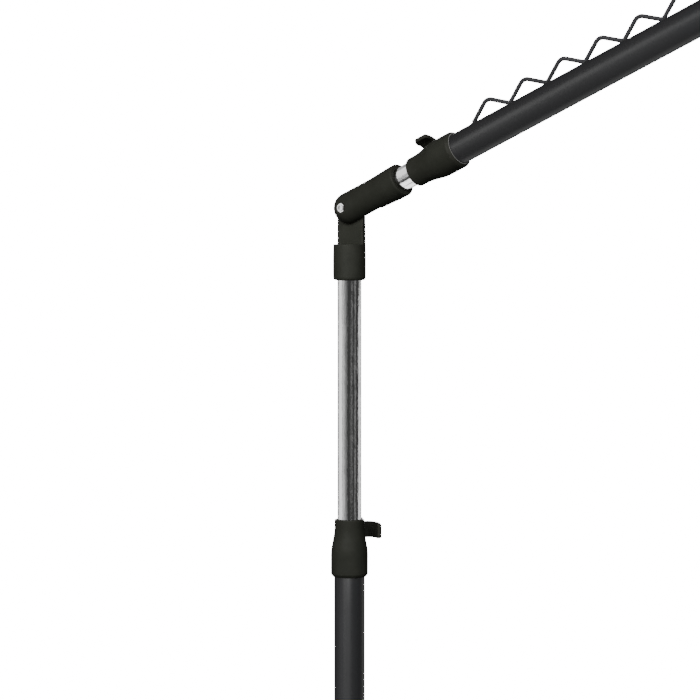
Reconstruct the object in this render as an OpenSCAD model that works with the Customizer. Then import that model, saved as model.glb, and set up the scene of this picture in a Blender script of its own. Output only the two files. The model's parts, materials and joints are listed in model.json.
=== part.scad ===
// Telescopic lighting stand: three swinging legs, a two-stage column, a
// half-lap tilting elbow and a two-stage boom with a zigzag hanging wire.
// Millimetres, +Z up. The origin is on the floor, on the column's axis.
// At rest the boom leans up and away over the front leg, along +X.

/* [Column] */
// Height of the elbow pivot above the floor at rest
pivot_z = 1250; // [1150:10:1400]
// Outside diameter of the painted outer tubes
outer_d = 32; // [32:1:32]
// Wall of the painted outer tubes
outer_wall = 1.5; // [1.2:0.1:1.5]
// Outside diameter of the chromed inner tubes
inner_d = 25; // [25:1:25]
// Wall of the chromed inner tubes
inner_wall = 1.2; // [1:0.1:1.6]
// Distance from the pivot down to the mouth of the column's lock collar
riser_out = 323.5; // [200:0.5:420]
// Length of chromed riser held inside the outer tube at rest
riser_hidden = 470; // [300:5:480]
// Height of the painted tube's lower end above the floor
column_foot_z = 50; // [50:1:50]

/* [Elbow] */
// Elevation of the boom above the horizontal at rest
boom_tilt = 23; // [-30:1:90]
// Radius of the lower half's neck and socket
lower_r = 17; // [16.8:0.1:17.5]
// Radius of the upper half at the pivot
upper_r = 15.6; // [15.4:0.1:15.8]
// Radius of the upper half at its mouth
upper_mouth_r = 17.1; // [16.5:0.1:17.5]
// Length from the pivot to the end of the lower socket
lower_len = 75; // [70:1:90]
// Length from the pivot to the mouth of the upper barrel
upper_len = 74; // [70:1:90]
// Distance from the pivot to the step of the half-lap
lap_len = 37.5; // [36:0.5:40]
// Radius of the rivet's shank
rivet_r = 4; // [3:0.5:5]
// Radius of the rivet's head
rivet_head_r = 5.1; // [4.6:0.1:6]

/* [Boom] */
// Distance from the pivot to the mouth of the boom's lock collar
boom_out = 92.5; // [80:0.5:200]
// Distance from the pivot to the boom's far end
boom_end = 930; // [900:1:1200]
// Distance from the pivot to the far end of the chromed boom tube
boom_inner_end = 540; // [500:5:600]
// Diameter of the zigzag wire
wire_d = 3.2; // [3:0.1:4]
// Length of one tooth of the wire
wire_pitch = 48; // [44:1:52]
// Number of teeth
wire_teeth = 14; // [4:1:14]
// Height of the wire's crests, centre of the wire above the tube's axis
wire_crest = 30.6; // [28:0.1:34]
// Distance from the pivot to the wire's first weld
wire_start = 178; // [170:1:200]
// Diameter of the plain spigot on the boom's far end
spigot_d = 16; // [16:1:16]
// Length of the spigot's plain wall
spigot_len = 38; // [30:1:50]

/* [Lock collar] */
// Length of a lock collar
collar_len = 60; // [60:1:60]
// Radius of the collar's body
collar_r = 19.3; // [19:0.1:20]
// Radius of the collar's mouth
collar_mouth_r = 15.4; // [15.2:0.1:15.8]
// Depth of the collar over the painted tube
collar_cover = 28; // [28:1:28]
// Direction of the column lever, about the column, from the boom's direction
lever_azimuth = 39; // [0:1:90]

/* [Base] */
// Distance from the column's axis to the centre of each foot
foot_reach = 430; // [400:5:480]
// Radius of a leg tube
leg_r = 11; // [10:0.5:11]
// Centreline radius of the bend in a leg
leg_bend_r = 80; // [70:5:90]
// Angle of the leg's end below the horizontal
leg_drop = 40; // [36:1:45]
// Height of one leg ring
ring_h = 30; // [30:1:30]
// Outside radius of a leg ring
ring_r = 23; // [22:0.5:24]

/* [Hidden] */
$fn = 64;

outer_r = outer_d / 2;
outer_ir = outer_r - outer_wall;
inner_r = inner_d / 2;
inner_ir = inner_r - inner_wall;
run = 0.05;                                     // radial clearance of a running fit
collar_base_z = pivot_z - riser_out - collar_len;
column_top_z = collar_base_z + collar_cover;
riser_top_z = pivot_z - 42;
riser_low_z = pivot_z - riser_out - riser_hidden;
lever_px = 10;                                  // lever pivot in the collar's own plan
lever_py = 21;
pivot_dir = atan2(lever_py, lever_px);
lever_z0 = 38.6;
lever_z1 = 55.4;
ring_z = [column_foot_z + 0.5, column_foot_z + 31, column_foot_z + 61.5];
clamp_z = column_foot_z + 92;
boom_tube_start = boom_out + collar_len - collar_cover;

// The zigzag: half a tooth is one straight leg between two arcs.
wire_r = wire_d / 2;
wire_valley = outer_r + wire_r - 0.2;
crest_r = 6;
valley_r = 5;
zig_s = crest_r + valley_r;
zig_h = wire_crest - wire_valley;
zig_w = wire_pitch / 2;
zig_a = asin(zig_s / sqrt(zig_w * zig_w + (zig_h - zig_s) * (zig_h - zig_s))) + atan2(zig_h - zig_s, zig_w);

// A leg runs out level, bends down, and ends on its foot.
leg_end_z = 20;
leg_start = 26;
function leg_fall(zc) = (zc - leg_bend_r * (1 - cos(leg_drop)) - leg_end_z) / sin(leg_drop);
function leg_level(zc) = foot_reach - leg_start - leg_bend_r * sin(leg_drop) - leg_fall(zc) * cos(leg_drop);

// Frames
module boom_frame() { translate([0, 0, pivot_z]) rotate([0, 90 - boom_tilt, 0]) children(); }
module boom_back() { translate([0, 0, pivot_z]) rotate([0, -(90 + boom_tilt), 0]) children(); }
module column_collar_frame() { translate([0, 0, collar_base_z]) rotate([0, 0, lever_azimuth]) children(); }
module boom_collar_frame() { boom_back() translate([0, 0, -(boom_out + collar_len)]) children(); }

module tube(r, ri, z0, z1) {
    translate([0, 0, z0]) difference() {
        cylinder(r = r, h = z1 - z0);
        translate([0, 0, -1]) cylinder(r = ri, h = z1 - z0 + 2);
    }
}

// ---------- lock collar family, in the collar's own frame ----------
module collar_skin() {
    rotate_extrude() polygon([[10, 0], [16.6, 0], [collar_r, 3], [collar_r, 24], [18.9, 29.5],
        [17.6, 36], [16.1, 44], [collar_mouth_r, 50], [collar_mouth_r, collar_len - 1],
        [collar_mouth_r - 1, collar_len], [10, collar_len]]);
}
module lug(z0, z1) {
    translate([0, 0, z0]) {
        translate([lever_px, lever_py, 0]) cylinder(r = 4.6, h = z1 - z0);
        rotate([0, 0, pivot_dir]) translate([13.2, -3.9, 0]) cube([7.3, 7.8, z1 - z0]);
    }
}
module shoe_window(w, h) {
    rotate([0, 0, pivot_dir]) translate([8, -w / 2, 47 - h / 2]) cube([14, w, h]);
}
module lock_collar() {
    color([0.10, 0.105, 0.09]) difference() {
        union() {
            collar_skin();
            lug(32.5, lever_z0 - 0.3);
            lug(lever_z1 + 0.3, 58.8);
        }
        translate([0, 0, -1]) cylinder(r = outer_r, h = collar_cover + 1);
        translate([0, 0, collar_cover - 1]) cylinder(r = 14.1, h = 31);
        translate([0, 0, 50]) cylinder(r = inner_r + 0.4, h = 20);
        shoe_window(8.4, 12.4);
        translate([lever_px, lever_py, 30]) cylinder(r = 2, h = 40);
    }
}
module guide_bush() {
    color("ivory") difference() {
        union() {
            translate([0, 0, 2]) cylinder(r = outer_ir, h = collar_cover - 2);
            translate([0, 0, collar_cover]) cylinder(r = 14.1, h = 30);
        }
        cylinder(r = inner_r + run, h = 70);
        shoe_window(8.4, 12.4);
    }
}
module brake_shoe() {
    color("dimgray") difference() {
        rotate([0, 0, pivot_dir]) translate([11, -4, 41]) cube([7.4, 8, 12]);
        translate([0, 0, 30]) cylinder(r = inner_r + 0.06, h = 40);
    }
}
module lever_pin() {
    color("silver") translate([lever_px, lever_py, 32.5]) cylinder(r = 2, h = 26.3);
}
module thumb_lever() {
    // hub on the pin, then an arm that leaves it and hooks round the collar
    color([0.10, 0.105, 0.09]) difference() {
        union() {
            translate([lever_px, lever_py, lever_z0]) cylinder(r = 4.4, h = lever_z1 - lever_z0);
            difference() {
                translate([0, 0, lever_z0]) linear_extrude(lever_z1 - lever_z0)
                    polygon([[10, 24.6], [16, 26.2], [21.5, 26.6], [26, 25.1], [29, 21.9], [31.1, 17.6],
                             [32.4, 13], [32.8, 9.6], [31.6, 8.2], [29.9, 8.6], [29.4, 12.8], [27.9, 17.3],
                             [25.4, 20.8], [21.5, 22.2], [17, 21.6], [12, 19]]);
                // rounded corners of the thumb tip
                translate([34, 9, lever_z0]) rotate([0, 90, 110]) corner_cut();
                translate([34, 9, lever_z1]) mirror([0, 0, 1]) rotate([0, 90, 110]) corner_cut();
            }
        }
        translate([lever_px, lever_py, lever_z0 - 1]) cylinder(r = 2.05, h = 30);
    }
}
// a quarter-round block that trims a corner 4 mm across, along its own Z
module corner_cut() {
    translate([0, 0, -4]) difference() {
        translate([-4.5, -4.5, 0]) cube([9, 9, 16]);
        translate([-4.5, 4.5, -1]) cylinder(r = 4.5, h = 18);
    }
}

// ---------- base ----------
module leg_ring(azimuth, level, bore) {
    color([0.22, 0.22, 0.23]) rotate([0, 0, azimuth]) translate([0, 0, ring_z[level]]) difference() {
        union() {
            cylinder(r = ring_r, h = ring_h);
            translate([10, 0, ring_h / 2]) rotate([0, 90, 0]) cylinder(r = leg_r + 2.6, h = 44);
        }
        translate([0, 0, -1]) cylinder(r = bore, h = ring_h + 2);
        translate([leg_start, 0, ring_h / 2]) rotate([0, 90, 0]) cylinder(r = leg_r, h = 60);
    }
}
// a leg's centreline: distance out, height, slope
function leg_route(zc) = concat([[leg_start, zc, 0]],
    [for (k = [0:5]) let (a = leg_drop * k / 5)
        [leg_start + leg_level(zc) + leg_bend_r * sin(a), zc - leg_bend_r * (1 - cos(a)), -a]],
    [[foot_reach, leg_end_z, -leg_drop]]);
function ring_points(p, r) = [for (s = [0:leg_sides - 1]) let (b = 360 * s / leg_sides, u = r * cos(b), v = r * sin(b))
    [p[0] - u * sin(p[2]), v, p[1] + u * cos(p[2])]];
leg_sides = 24;
module leg(azimuth, level) {
    route = leg_route(ring_z[level] + ring_h / 2);
    n = len(route);
    m = n * leg_sides;
    pts = concat([for (p = route) each ring_points(p, leg_r)], [for (p = route) each ring_points(p, leg_r - 1.5)]);
    color([0.22, 0.22, 0.23]) rotate([0, 0, azimuth]) polyhedron(points = pts, faces = concat(
        [for (i = [0:n - 2]) for (s = [0:leg_sides - 1]) let (a = i * leg_sides + s, b = i * leg_sides + (s + 1) % leg_sides)
            [a, b, b + leg_sides, a + leg_sides]],
        [for (i = [0:n - 2]) for (s = [0:leg_sides - 1]) let (a = m + i * leg_sides + s, b = m + i * leg_sides + (s + 1) % leg_sides)
            [a + leg_sides, b + leg_sides, b, a]],
        [for (s = [0:leg_sides - 1]) let (a = s, b = (s + 1) % leg_sides) [b, a, m + a, m + b]],
        [for (s = [0:leg_sides - 1]) let (a = m - leg_sides + s, b = m - leg_sides + (s + 1) % leg_sides) [a, b, m + b, m + a]]));
}
module foot(azimuth) {
    color([0.07, 0.07, 0.07]) rotate([0, 0, azimuth]) difference() {
        union() {
            translate([foot_reach, 0, leg_end_z]) rotate([0, 90 + leg_drop, 0])
                translate([0, 0, -30]) cylinder(r = leg_r + 3, h = 34);
            translate([foot_reach + 2, 0, 0]) cylinder(r = 17, h = 12);
        }
        translate([foot_reach, 0, leg_end_z]) rotate([0, 90 + leg_drop, 0])
            translate([0, 0, -31]) cylinder(r = leg_r, h = 31);
        translate([foot_reach - 60, -40, -60]) cube([120, 80, 60]);
    }
}

module column_tube() { color([0.24, 0.24, 0.25]) tube(outer_r, outer_ir, column_foot_z, column_top_z); }
module column_foot_plug() {
    color([0.07, 0.07, 0.07]) {
        translate([0, 0, column_foot_z - 6]) cylinder(r = 21, h = 6);
        translate([0, 0, column_foot_z]) cylinder(r = outer_ir, h = 24);
    }
}
module leg_ring_front() { leg_ring(0, 0, outer_r); }
module leg_ring_left() { leg_ring(120, 1, outer_r + run); }
module leg_ring_right() { leg_ring(-120, 2, outer_r + run); }
module leg_front() { leg(0, 0); }
module leg_left() { leg(120, 1); }
module leg_right() { leg(-120, 2); }
module foot_front() { foot(0); }
module foot_left() { foot(120); }
module foot_right() { foot(-120); }
module leg_clamp_collar() {
    color([0.22, 0.22, 0.23]) difference() {
        union() {
            translate([0, 0, clamp_z]) cylinder(r = ring_r, h = 28);
            translate([-36, 0, clamp_z + 14]) rotate([0, 90, 0]) cylinder(r = 10, h = 26);
        }
        translate([0, 0, clamp_z - 1]) cylinder(r = outer_r, h = 30);
        translate([-40, 0, clamp_z + 14]) rotate([0, 90, 0]) cylinder(r = 5 + run, h = 30);
    }
}
module leg_clamp_handle() {
    color("silver") translate([-56, 0, clamp_z + 14]) {
        rotate([0, 90, 0]) cylinder(r = 5, h = 39.7);
        rotate([0, 90, 0]) cylinder(r = 8, h = 12);
        translate([3, 0, -36]) cylinder(r = 4, h = 72);
        translate([3, 0, -36]) sphere(r = 5.5);
        translate([3, 0, 36]) sphere(r = 5.5);
    }
}

// ---------- column ----------
module column_collar() { column_collar_frame() lock_collar(); }
module column_bush() { column_collar_frame() guide_bush(); }
module column_brake_shoe() { column_collar_frame() brake_shoe(); }
module column_lever() { column_collar_frame() thumb_lever(); }
module column_lever_pin() { column_collar_frame() lever_pin(); }
module riser_tube() { color("silver") tube(inner_r, inner_ir, riser_low_z, riser_top_z); }
module riser_guide_plug() {
    color("ivory") {
        translate([0, 0, riser_low_z - 14]) cylinder(r = outer_ir - run, h = 14);
        translate([0, 0, riser_low_z]) cylinder(r = inner_ir - run, h = 16);
    }
}

// ---------- elbow ----------
module elbow_lower() {
    color([0.10, 0.105, 0.09]) translate([0, 0, pivot_z]) difference() {
        union() {
            rotate_extrude() polygon([[0, -lower_len], [lower_r - 0.9, -lower_len], [lower_r - 0.3, -lower_len + 1.2],
                [lower_r + 0.1, -lower_len + 8], [lower_r + 0.1, -lap_len - 12], [lower_r - 0.3, -lap_len],
                [lower_r - 0.6, -6], [lower_r - 1, 0], [0, 0]]);
            sphere(r = lower_r - 0.6);
        }
        translate([-30, -60.5, -lap_len]) cube([60, 61, 90]);
        translate([0, 0, -lower_len - 1]) cylinder(r = inner_r, h = lower_len - 42 + 1);
        rotate([90, 0, 0]) translate([0, 0, -30]) cylinder(r = rivet_r, h = 60);
        rotate([-90, 0, 0]) translate([0, 0, 14.4]) cylinder(r = 6, h = 10);
        rotate([-90, 0, 0]) translate([0, 58, 10]) cylinder(r = 1.75, h = 20);
    }
}
module elbow_upper() {
    color([0.10, 0.105, 0.09]) boom_frame() difference() {
        union() {
            cylinder(r1 = upper_r, r2 = upper_mouth_r, h = upper_len - 1);
            translate([0, 0, upper_len - 1]) cylinder(r1 = upper_mouth_r, r2 = upper_mouth_r - 0.9, h = 1);
            sphere(r = upper_r + 0.4);
        }
        translate([-30, -0.55, -40]) cube([60, 60, 40 + lap_len]);
        translate([0, 0, 42]) cylinder(r = inner_r, h = upper_len);
        rotate([90, 0, 0]) translate([0, 0, -30]) cylinder(r = rivet_r + run, h = 60);
        rotate([90, 0, 0]) translate([0, 0, 14.4]) cylinder(r = 6, h = 10);
        rotate([-90, 0, 0]) translate([0, -58, 10]) cylinder(r = 1.75, h = 20);
    }
}
module elbow_rivet() {
    color("gainsboro") translate([0, 0, pivot_z]) rotate([90, 0, 0]) difference() {
        union() {
            translate([0, 0, -14.4]) cylinder(r = rivet_r, h = 28.85);
            translate([0, 0, 14.45]) cylinder(r = rivet_head_r, h = 0.9);
            translate([0, 0, 15.35]) cylinder(r1 = rivet_head_r, r2 = rivet_head_r - 1.3, h = 0.8);
            translate([0, 0, -15.5]) cylinder(r = rivet_head_r, h = 1.1);
            translate([0, 0, -16.2]) cylinder(r1 = rivet_head_r - 1.3, r2 = rivet_head_r, h = 0.7);
        }
        translate([0, 0, 15.5]) cylinder(r = 1.9, h = 3);
        translate([0, 0, -19]) cylinder(r = 1.9, h = 3.4);
    }
}
module elbow_washer() {
    color("ivory") translate([0, 0.5, pivot_z]) rotate([90, 0, 0]) difference() {
        cylinder(r = 12, h = 1);
        translate([0, 0, -1]) cylinder(r = rivet_r, h = 3);
    }
}
// a pan-head self-tapping screw, head outward along -Z of its own frame
module retaining_screw() {
    color("silver") {
        translate([0, 0, inner_ir - 3]) cylinder(r = 1.75, h = lower_r - inner_ir + 2.9);
        translate([0, 0, lower_r - 0.1]) cylinder(r = 3.3, h = 1.9);
    }
}
module riser_screw() { translate([0, 0, pivot_z - 58]) rotate([-90, 0, 0]) retaining_screw(); }
module boom_screw() { boom_frame() translate([0, 0, 58]) rotate([-90, 0, 0]) retaining_screw(); }

// ---------- boom ----------
module boom_inner_tube() { color("silver") boom_frame() tube(inner_r, inner_ir, 42, boom_inner_end); }
module boom_inner_plug() {
    color("ivory") boom_frame() {
        translate([0, 0, boom_inner_end - 16]) cylinder(r = inner_ir, h = 16);
        translate([0, 0, boom_inner_end]) cylinder(r = outer_ir - run, h = 14);
    }
}
module boom_bush() { boom_collar_frame() boom_guide(); }
// the boom's bush turns and slides, so it clears the collar and the tube
module boom_guide() {
    color("ivory") difference() {
        union() {
            translate([0, 0, 2]) cylinder(r = outer_ir - run, h = collar_cover - 2);
            translate([0, 0, collar_cover]) cylinder(r = 14.1 - run, h = 9);
        }
        cylinder(r = inner_r + run, h = 70);
    }
}
module boom_brake_shoe() { boom_collar_frame() brake_shoe(); }
module boom_collar() { boom_collar_frame() lock_collar(); }
module boom_lever() { boom_collar_frame() thumb_lever(); }
module boom_lever_pin() { boom_collar_frame() lever_pin(); }
module boom_tube() { color([0.24, 0.24, 0.25]) boom_frame() tube(outer_r, outer_ir, boom_tube_start, boom_end); }
module boom_end_plug() {
    color([0.07, 0.07, 0.07]) boom_frame() translate([0, 0, boom_end]) difference() {
        union() {
            cylinder(r = outer_r, h = 2);
            translate([0, 0, 2]) cylinder(r1 = outer_r, r2 = outer_r - 1, h = 1);
        }
        translate([0, 0, -1]) cylinder(r = spigot_d / 2 + 1, h = 5);
    }
}
module boom_spigot() {
    color("silver") boom_frame() {
        translate([0, 0, boom_end - 30]) cylinder(r = outer_ir, h = 30);
        translate([0, 0, boom_end]) cylinder(r = spigot_d / 2 + 1, h = 3);
        translate([0, 0, boom_end + 3]) cylinder(r = spigot_d / 2, h = spigot_len);
        translate([0, 0, boom_end + 3 + spigot_len]) cylinder(r1 = spigot_d / 2, r2 = spigot_d / 2 - 1, h = 1);
    }
}
// Wire in the boom frame: t along +Z, height above the axis along -X. Each
// tooth is a run of points: half a valley, a leg, the crest, a leg, half a valley.
function tooth(t0) = [
    for (k = [0:2]) let (a = zig_a * k / 2) [t0 + valley_r * sin(a), wire_valley + valley_r * (1 - cos(a)), a],
    for (k = [0:4]) let (a = zig_a * (1 - k / 2)) [t0 + zig_w - crest_r * sin(a), wire_crest - crest_r * (1 - cos(a)), a],
    for (k = [0:1]) let (a = -zig_a * (1 - k / 2)) [t0 + wire_pitch + valley_r * sin(a), wire_valley + valley_r * (1 - cos(a)), a]
];
function wire_route() = concat([for (i = [0:wire_teeth - 1]) each tooth(wire_start + i * wire_pitch)],
    [[wire_start + wire_teeth * wire_pitch, wire_valley, 0]]);
wire_sides = 8;
module boom_wire() {
    route = wire_route();
    n = len(route);
    pts = [for (p = route) for (s = [0:wire_sides - 1]) let (b = 360 * (s + 0.5) / wire_sides, u = wire_r * cos(b), v = wire_r * sin(b))
        [-(p[1] + u * cos(p[2])), v, p[0] - u * sin(p[2])]];
    color([0.22, 0.22, 0.23]) boom_frame() polyhedron(points = pts, faces = concat(
        [[for (s = [wire_sides - 1:-1:0]) s]],
        [for (i = [0:n - 2]) for (s = [0:wire_sides - 1]) let (a = i * wire_sides + s, b = i * wire_sides + (s + 1) % wire_sides)
            [a, b, b + wire_sides, a + wire_sides]],
        [[for (s = [0:wire_sides - 1]) (n - 1) * wire_sides + s]]));
}

column_tube();
column_foot_plug();
leg_ring_front();
leg_ring_left();
leg_ring_right();
leg_front();
leg_left();
leg_right();
foot_front();
foot_left();
foot_right();
leg_clamp_collar();
leg_clamp_handle();
column_collar();
column_bush();
column_brake_shoe();
column_lever();
column_lever_pin();
riser_tube();
riser_guide_plug();
elbow_lower();
riser_screw();
elbow_rivet();
elbow_washer();
elbow_upper();
boom_screw();
boom_inner_tube();
boom_inner_plug();
boom_bush();
boom_brake_shoe();
boom_collar();
boom_lever();
boom_lever_pin();
boom_tube();
boom_wire();
boom_end_plug();
boom_spigot();
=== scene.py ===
import bpy, bmesh, math, json, random
from mathutils import Matrix, Vector, noise as mnoise

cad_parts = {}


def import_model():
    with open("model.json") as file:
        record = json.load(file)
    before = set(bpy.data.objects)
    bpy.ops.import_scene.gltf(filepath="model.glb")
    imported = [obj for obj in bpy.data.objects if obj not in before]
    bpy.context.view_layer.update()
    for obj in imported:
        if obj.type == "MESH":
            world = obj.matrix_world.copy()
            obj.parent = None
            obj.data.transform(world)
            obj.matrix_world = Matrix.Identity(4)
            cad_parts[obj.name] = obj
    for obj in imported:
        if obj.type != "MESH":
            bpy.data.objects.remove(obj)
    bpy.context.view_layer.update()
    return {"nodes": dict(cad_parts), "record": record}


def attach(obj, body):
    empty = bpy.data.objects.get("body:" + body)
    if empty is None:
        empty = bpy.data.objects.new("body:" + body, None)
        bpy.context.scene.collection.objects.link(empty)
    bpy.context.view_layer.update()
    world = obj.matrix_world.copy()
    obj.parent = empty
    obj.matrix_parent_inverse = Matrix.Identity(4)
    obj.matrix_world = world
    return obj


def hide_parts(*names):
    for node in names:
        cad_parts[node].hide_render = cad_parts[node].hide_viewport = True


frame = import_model()
S = 0.001                                   # the sizes below are in millimetres

# ---------------------------------------------------------------- frames
E = math.radians(23.0)
U = Vector((math.cos(E), 0, math.sin(E)))   # along the boom
N = Vector((-math.sin(E), 0, math.cos(E)))  # up from the boom
PIVOT = Vector((0, 0, 1.25))


def axes(x, y, z, o):
    m = Matrix.Identity(4)
    for i, v in enumerate((x, y, z)):
        for k in range(3):
            m[k][i] = v[k]
    for k in range(3):
        m[k][3] = o[k]
    return m


WORLD = Matrix.Identity(4)
BOOM = axes(-N, Vector((0, 1, 0)), U, PIVOT)                        # +Z along the boom
COLLAR_Z0 = 0.8665
A39 = math.radians(39)
COL_COLLAR = Matrix.Translation((0, 0, COLLAR_Z0)) @ Matrix.Rotation(A39, 4, "Z")
BOOM_COLLAR = axes(N, Vector((0, 1, 0)), -U, PIVOT + U * 0.1525)
PIV = Matrix.Translation(PIVOT)


# ---------------------------------------------------------------- mesh helpers
def new_obj(name, verts, faces, matrix=WORLD, smooth=True):
    me = bpy.data.meshes.new(name)
    me.from_pydata([(v[0] * S, v[1] * S, v[2] * S) for v in verts], [], faces)
    me.validate()
    o = bpy.data.objects.new(name, me)
    bpy.context.scene.collection.objects.link(o)
    o.matrix_world = matrix
    if smooth:
        me.shade_smooth()
    return o


def lathe_data(profile, segs=96, closed=False):
    """profile: (r, z) points. An open profile that ends on the axis closes itself."""
    verts, faces, rings = [], [], []
    for r, z in profile:
        if r < 1e-6:
            rings.append([len(verts)]); verts.append((0, 0, z))
        else:
            rings.append(list(range(len(verts), len(verts) + segs)))
            for k in range(segs):
                a = 2 * math.pi * k / segs
                verts.append((r * math.cos(a), r * math.sin(a), z))
    n = len(rings)
    for i in range(n if closed else n - 1):
        a, b = rings[i], rings[(i + 1) % n]
        for k in range(segs):
            k2 = (k + 1) % segs
            if len(a) == 1 and len(b) == 1:
                continue
            if len(a) == 1:
                faces.append((a[0], b[k2], b[k]))
            elif len(b) == 1:
                faces.append((a[k], a[k2], b[0]))
            else:
                faces.append((a[k], a[k2], b[k2], b[k]))
    return verts, faces


def fix_normals(o):
    bm = bmesh.new(); bm.from_mesh(o.data)
    bmesh.ops.recalc_face_normals(bm, faces=bm.faces)
    bm.to_mesh(o.data); bm.free()
    return o


def lathe(name, profile, matrix=WORLD, segs=96, closed=False):
    v, f = lathe_data(profile, segs, closed)
    o = fix_normals(new_obj(name, v, f, matrix))
    return o


def soften(profile, radius, steps=4, closed=False):
    """Rounds each corner of an (r, z) outline that has a third value, its own radius, or radius."""
    out, n = [], len(profile)
    for i in range(n):
        p = profile[i]
        rr = p[2] if len(p) > 2 else radius
        if (not closed and i in (0, n - 1)) or rr <= 0:
            out.append((p[0], p[1])); continue
        a, b = Vector(profile[i - 1][:2]), Vector(profile[(i + 1) % n][:2])
        c = Vector(p[:2])
        da, db = (a - c), (b - c)
        la, lb = da.length, db.length
        if la < 1e-6 or lb < 1e-6:
            out.append((p[0], p[1])); continue
        t = min(rr, la * 0.48, lb * 0.48)
        s, e = c + da / la * t, c + db / lb * t
        for k in range(steps + 1):
            w = k / steps
            q = s * (1 - w) ** 2 + c * 2 * w * (1 - w) + e * w * w
            out.append((q.x, q.y))
    return out


def pipe_profile(r, ri, z0, z1, lip=0.4):
    return soften([(ri, z0, lip * .6), (r, z0, lip), (r, z1, lip), (ri, z1, lip * .6)], 0, 3, closed=True)


def split_long(profile, step):
    """Adds points on long straight runs, so that shading and baking stay even."""
    out = []
    for i, p in enumerate(profile):
        q = profile[(i + 1) % len(profile)]
        out.append(p)
        d = math.hypot(q[0] - p[0], q[1] - p[1])
        k = int(d / step)
        for j in range(1, k):
            out.append((p[0] + (q[0] - p[0]) * j / k, p[1] + (q[1] - p[1]) * j / k))
    return out


def tube(name, r, ri, z0, z1, matrix, segs=96):
    return lathe(name, split_long(pipe_profile(r, ri, z0, z1), 60), matrix, segs, closed=True)


def box_mesh(name, x0, x1, y0, y1, z0, z1, matrix=WORLD):
    v = [(x, y, z) for x in (x0, x1) for y in (y0, y1) for z in (z0, z1)]
    f = [(0, 1, 3, 2), (4, 6, 7, 5), (0, 4, 5, 1), (2, 3, 7, 6), (0, 2, 6, 4), (1, 5, 7, 3)]
    return fix_normals(new_obj(name, v, f, matrix, smooth=False))


def evaluated(o):
    dg = bpy.context.evaluated_depsgraph_get()
    dg.update()
    me = bpy.data.meshes.new_from_object(o.evaluated_get(dg))
    o.modifiers.clear()
    o.data = me
    return o


def drop(o):
    bpy.data.objects.remove(o, do_unlink=True)


def boolean(o, cutter, op="DIFFERENCE"):
    m = o.modifiers.new("b", "BOOLEAN")
    m.operation = op; m.solver = "EXACT"; m.object = cutter
    bpy.context.view_layer.update()
    evaluated(o)
    drop(cutter)
    return o


def join(objs):
    a = objs[0]
    bm = bmesh.new()
    for o in objs:
        me = o.data.copy(); me.transform(a.matrix_world.inverted() @ o.matrix_world)
        bm.from_mesh(me); bpy.data.meshes.remove(me)
    bm.to_mesh(a.data); bm.free()
    for o in objs[1:]:
        drop(o)
    return a


def remesh(o, voxel, smooth=4, factor=0.5, ratio=None):
    m = o.modifiers.new("r", "REMESH")
    m.mode = "VOXEL"; m.voxel_size = voxel * S; m.use_smooth_shade = True
    if smooth:
        s = o.modifiers.new("s", "SMOOTH"); s.iterations = smooth; s.factor = factor
    if ratio:
        d = o.modifiers.new("d", "DECIMATE"); d.ratio = ratio
    evaluated(o)
    o.data.shade_smooth()
    return o


def sweep(name, pts, radius, sides, matrix=WORLD, plane_y=True, caps=True, r_at=None):
    """A round rod along points that lie in the local XZ plane."""
    verts, faces = [], []
    n = len(pts)
    for i, p in enumerate(pts):
        a = pts[max(i - 1, 0)]; b = pts[min(i + 1, n - 1)]
        t = Vector((b[0] - a[0], 0, b[1] - a[1])).normalized()
        up = Vector((-t.z, 0, t.x)); side = Vector((0, 1, 0))
        r = r_at(i) if r_at else radius
        for k in range(sides):
            w = 2 * math.pi * k / sides
            q = Vector((p[0], 0, p[1])) + up * (r * math.cos(w)) + side * (r * math.sin(w))
            verts.append(tuple(q))
    for i in range(n - 1):
        for k in range(sides):
            k2 = (k + 1) % sides
            faces.append((i * sides + k, i * sides + k2, (i + 1) * sides + k2, (i + 1) * sides + k))
    if caps:
        faces.append(tuple(range(sides)))
        faces.append(tuple((n - 1) * sides + k for k in reversed(range(sides))))
    return fix_normals(new_obj(name, verts, faces, matrix))


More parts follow.
